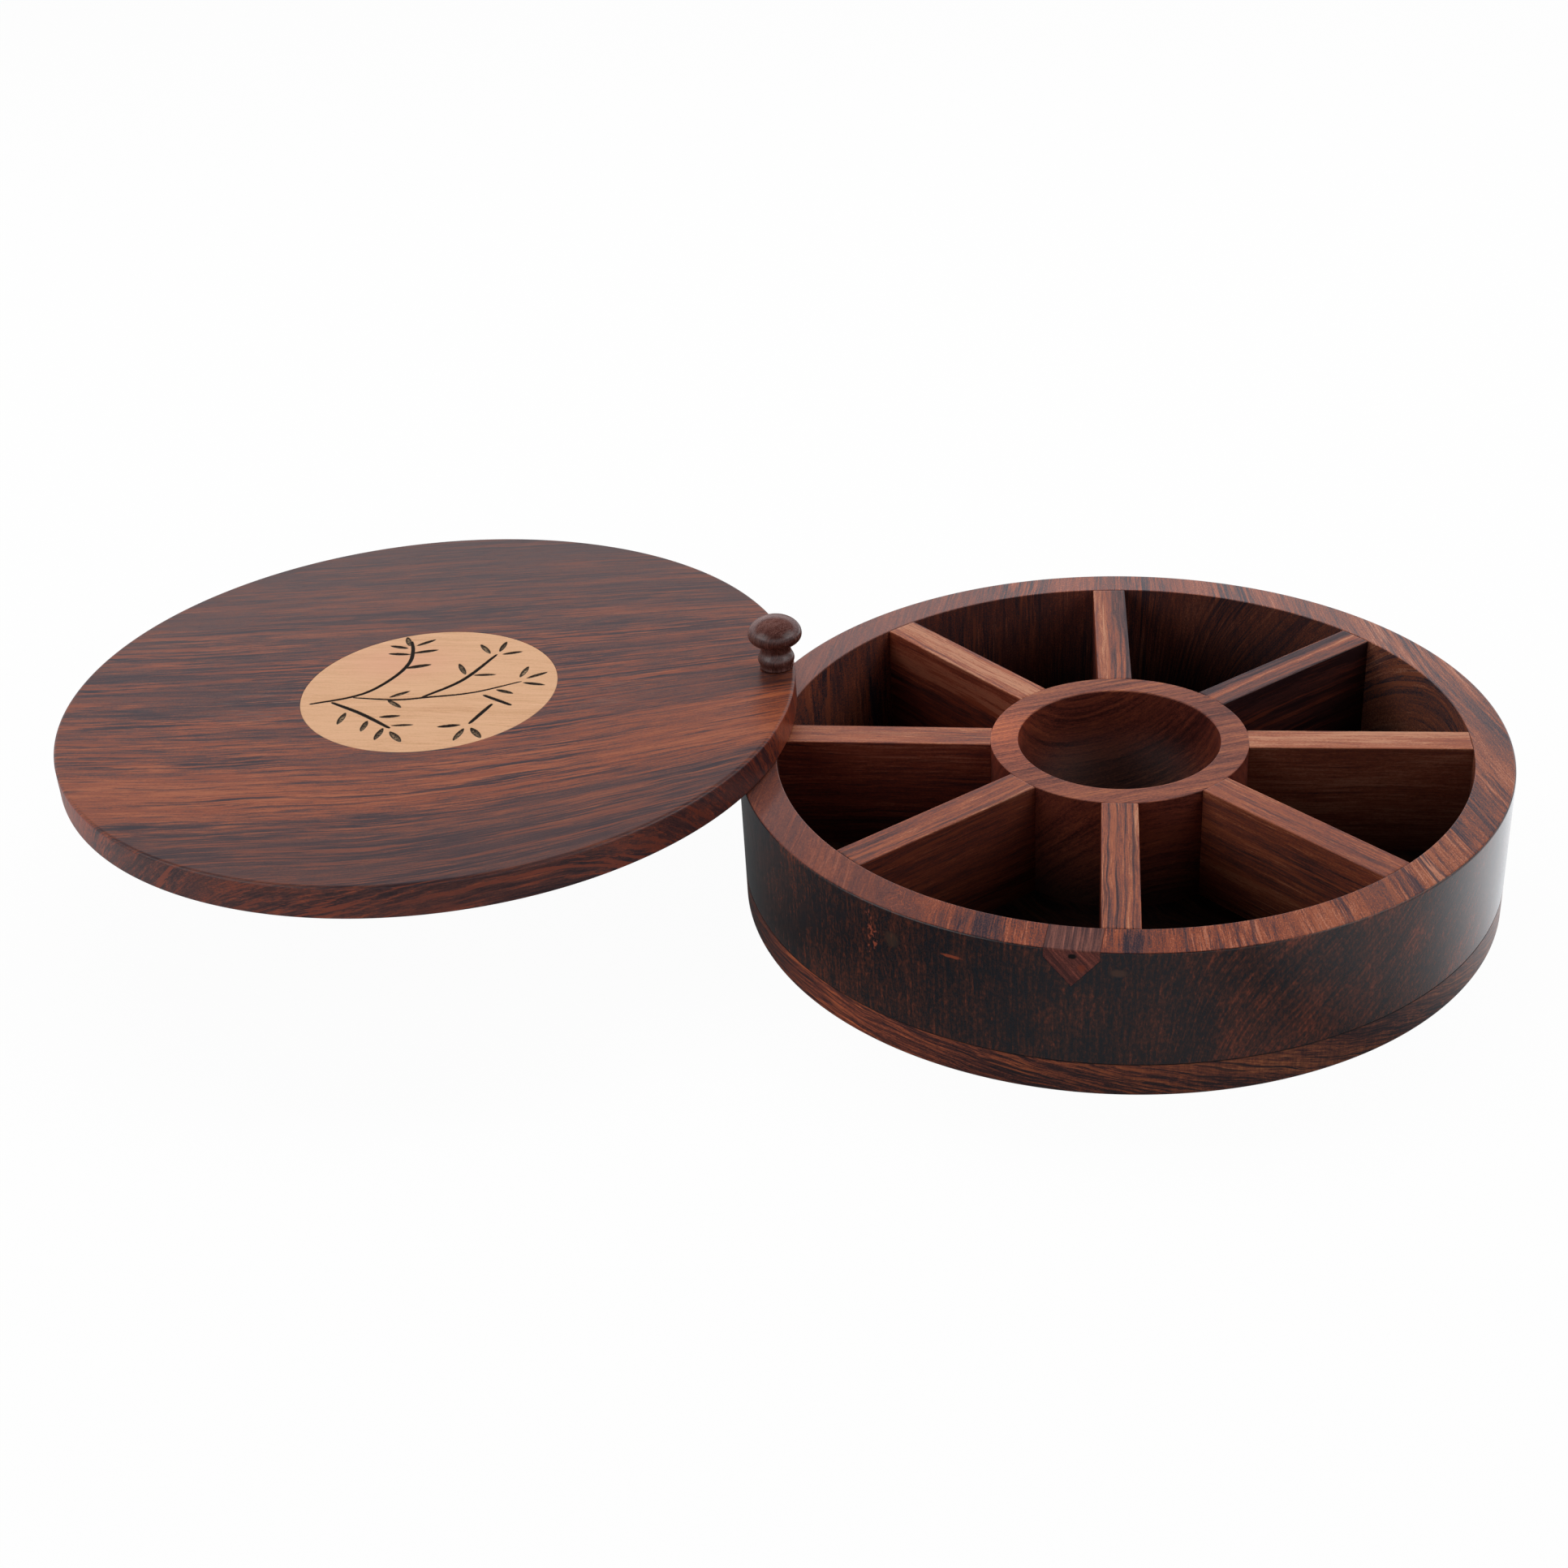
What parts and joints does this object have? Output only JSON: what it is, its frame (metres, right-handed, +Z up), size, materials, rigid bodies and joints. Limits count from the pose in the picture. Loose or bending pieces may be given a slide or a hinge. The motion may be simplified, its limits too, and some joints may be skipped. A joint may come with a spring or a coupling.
{
  "type": "spice box",
  "caption": "Round wooden spice box: a ring wall on a base board, radial dividers round a turned centre cup, and a flat inlaid lid that swivels on a pin under a knob.",
  "frame": {"origin": "centre of the round base's underside", "axes": "+Z up out of the open box; +X to the right of the box seen from the front, away from the open lid; the front faces -Y"},
  "size_m": [0.4908, 0.2598, 0.082],
  "materials": {
    "base_wood": "satin oiled dark rosewood, long grain",
    "wall_wood": "semi-gloss very dark rosewood, red-brown rim",
    "key_wood": "semi-gloss red-brown rosewood",
    "cup_wood": "semi-gloss red-brown rosewood, turned",
    "divider_wood": "semi-gloss orange-brown rosewood",
    "pin_steel": "plain bright steel",
    "knob_wood": "gloss turned red-brown rosewood",
    "lid_wood": "semi-gloss dark rosewood with orange and black streaks",
    "inlay_wood": "satin pale close-grained wood with a dark carved sprig"
  },
  "bodies": {
    "box": {"base_disc": "base_wood", "wall_ring": "wall_wood", "wall_key": "key_wood", "centre_cup": "cup_wood", "divider_right": "divider_wood", "divider_back_right": "divider_wood", "divider_back": "divider_wood", "divider_back_left": "divider_wood", "divider_left": "divider_wood", "divider_front_left": "divider_wood", "divider_front": "divider_wood", "divider_front_right": "divider_wood", "pivot_pin": "pin_steel", "knob": "knob_wood"},
    "lid": {"lid_disc": "lid_wood", "inlay_disc": "inlay_wood"}
  },
  "joints": [
    {"name": "lid_swivel", "type": "hinge", "parent": "box", "child": "lid", "pos_m": [-0.11784, 0.02591, 0.0511], "axis": [0, 0, 1], "range_deg": [-202, 158]}
  ]
}
